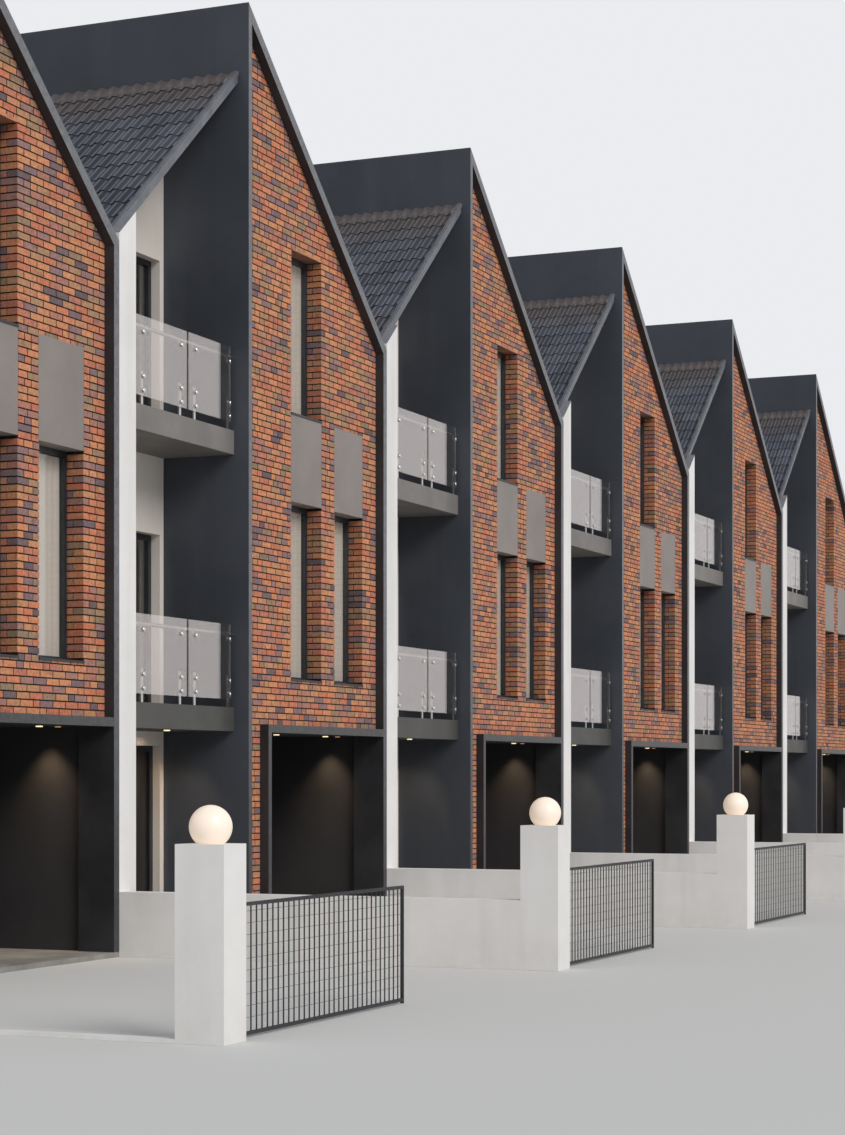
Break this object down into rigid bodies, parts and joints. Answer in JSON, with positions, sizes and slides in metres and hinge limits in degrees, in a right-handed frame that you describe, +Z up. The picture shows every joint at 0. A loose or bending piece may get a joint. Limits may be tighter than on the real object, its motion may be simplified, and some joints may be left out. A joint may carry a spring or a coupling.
{
  "type": "terraced house row",
  "caption": "Terraced row of three storey houses: brick half gables over open carports, glass balconies in white recesses, tiled roofs, garden walls with ball lamps and mesh fences.",
  "frame": {"origin": "centre of the row's bounding box in plan, at ground level", "axes": "+X along the row, away from the first house; +Y from the street into the houses; +Z up"},
  "size_m": [39.63, 13.543, 10.165],
  "materials": {
    "concrete": "matt",
    "white_render": "fine smooth render",
    "dark_cladding": "satin",
    "brick": "rough brick in dark mortar",
    "frame_metal": "satin",
    "roof_tile": "profiled tile sheet",
    "verge_grey": "satin",
    "flashing": "satin",
    "window_metal": "satin",
    "grey_panel": "satin",
    "balcony_fascia": "smooth",
    "stainless": "brushed",
    "fence_metal": "satin",
    "door_dark": "satin",
    "window_glass": "clear",
    "clear_glass": "clear",
    "lamp_globe": "opal",
    "downlight": "opal"
  },
  "bodies": {
    "row": {"ground_slabs": "concrete", "upper_floors": "concrete", "front_floors": "concrete", "party_walls": "white_render", "flank_walls": "dark_cladding", "ridge_walls": "dark_cladding", "recess_door_walls": "white_render", "recess_upper_walls": "white_render", "brick_fronts": "brick", "brick_piers": "brick", "frame_posts": "frame_metal", "frame_rakes": "frame_metal", "carport_portals": "frame_metal", "carport_walls": "dark_cladding", "rear_walls_left": "white_render", "rear_walls_right": "brick", "left_roofs": "roof_tile", "right_roofs": "roof_tile", "roof_verges": "verge_grey", "valley_gutters": "flashing", "ridge_caps": "flashing", "window_frames": "window_metal", "window_glass": "window_glass", "window_panels": "grey_panel", "window_sills": "window_metal", "rear_window_frames": "window_metal", "rear_window_glass": "window_glass", "balcony_door_frames": "window_metal", "balcony_door_glass": "window_glass", "balcony_slabs": "balcony_fascia", "balcony_glass": "clear_glass", "balcony_posts": "stainless", "balcony_handrails": "stainless", "entrance_frames": "window_metal", "entrance_hinges": "stainless", "garden_walls": "white_render", "lamp_globes": "lamp_globe", "fence_panels": "fence_metal", "downlights": "downlight"},
    "entrance_door_1": {"entrance_door_1": "door_dark"},
    "entrance_door_2": {"entrance_door_2": "door_dark"},
    "entrance_door_3": {"entrance_door_3": "door_dark"},
    "entrance_door_4": {"entrance_door_4": "door_dark"},
    "entrance_door_5": {"entrance_door_5": "door_dark"},
    "entrance_door_6": {"entrance_door_6": "door_dark"}
  },
  "joints": [
    {"name": "entrance_door_1_hinge", "type": "hinge", "parent": "row", "child": "entrance_door_1", "pos_m": [-17.165, -1.0035, 0], "axis": [0, 0, -1], "range_deg": [0, 90]},
    {"name": "entrance_door_2_hinge", "type": "hinge", "parent": "row", "child": "entrance_door_2", "pos_m": [-10.615, -1.0035, 0], "axis": [0, 0, -1], "range_deg": [0, 90]},
    {"name": "entrance_door_3_hinge", "type": "hinge", "parent": "row", "child": "entrance_door_3", "pos_m": [-4.065, -1.0035, 0], "axis": [0, 0, -1], "range_deg": [0, 90]},
    {"name": "entrance_door_4_hinge", "type": "hinge", "parent": "row", "child": "entrance_door_4", "pos_m": [2.485, -1.0035, 0], "axis": [0, 0, -1], "range_deg": [0, 90]},
    {"name": "entrance_door_5_hinge", "type": "hinge", "parent": "row", "child": "entrance_door_5", "pos_m": [9.035, -1.0035, 0], "axis": [0, 0, -1], "range_deg": [0, 90]},
    {"name": "entrance_door_6_hinge", "type": "hinge", "parent": "row", "child": "entrance_door_6", "pos_m": [15.585, -1.0035, 0], "axis": [0, 0, -1], "range_deg": [0, 90]}
  ]
}
